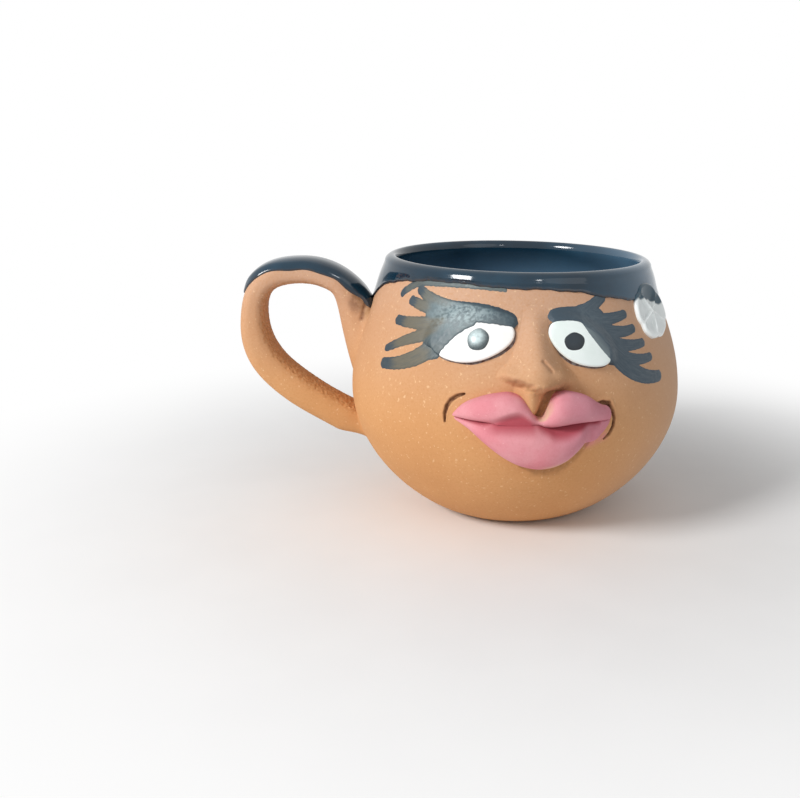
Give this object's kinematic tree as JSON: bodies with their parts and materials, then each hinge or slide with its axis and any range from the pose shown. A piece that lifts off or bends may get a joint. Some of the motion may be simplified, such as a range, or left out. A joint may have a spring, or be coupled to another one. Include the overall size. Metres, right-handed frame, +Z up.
{
  "type": "cup",
  "caption": "Round-bellied clay coffee cup with a modelled comic face, a flower by the rim, a strap handle and a dark glazed lining.",
  "frame": {"origin": "centre of the flat base, on the axis of the cup", "axes": "+Z up along the cup's axis, face towards -Y, handle towards -X, flower on the +X side"},
  "size_m": [0.1033, 0.0831, 0.06],
  "materials": {
    "clay": "bare fired terracotta, matte",
    "dark_glaze": "blue-black, glossy",
    "eye_white": "white slip, satin",
    "pupil_black": "black slip, glossy bead",
    "lash_slip": "brushed charcoal slip",
    "lip_slip": "rose slip, matte",
    "petal_glaze": "white glaze"
  },
  "bodies": {
    "root": {"cup_body": "clay", "handle": "clay", "nose": "clay", "glaze_lining": "dark_glaze", "handle_glaze": "dark_glaze", "handle_side_eye": "eye_white", "flower_side_eye": "eye_white", "handle_side_pupil": "pupil_black", "flower_side_pupil": "pupil_black", "handle_side_lid": "lash_slip", "flower_side_lid": "lash_slip", "handle_side_lashes": "lash_slip", "flower_side_lashes": "lash_slip", "upper_lip": "lip_slip", "lower_lip": "lip_slip", "flower": "petal_glaze"}
  },
  "joints": []
}
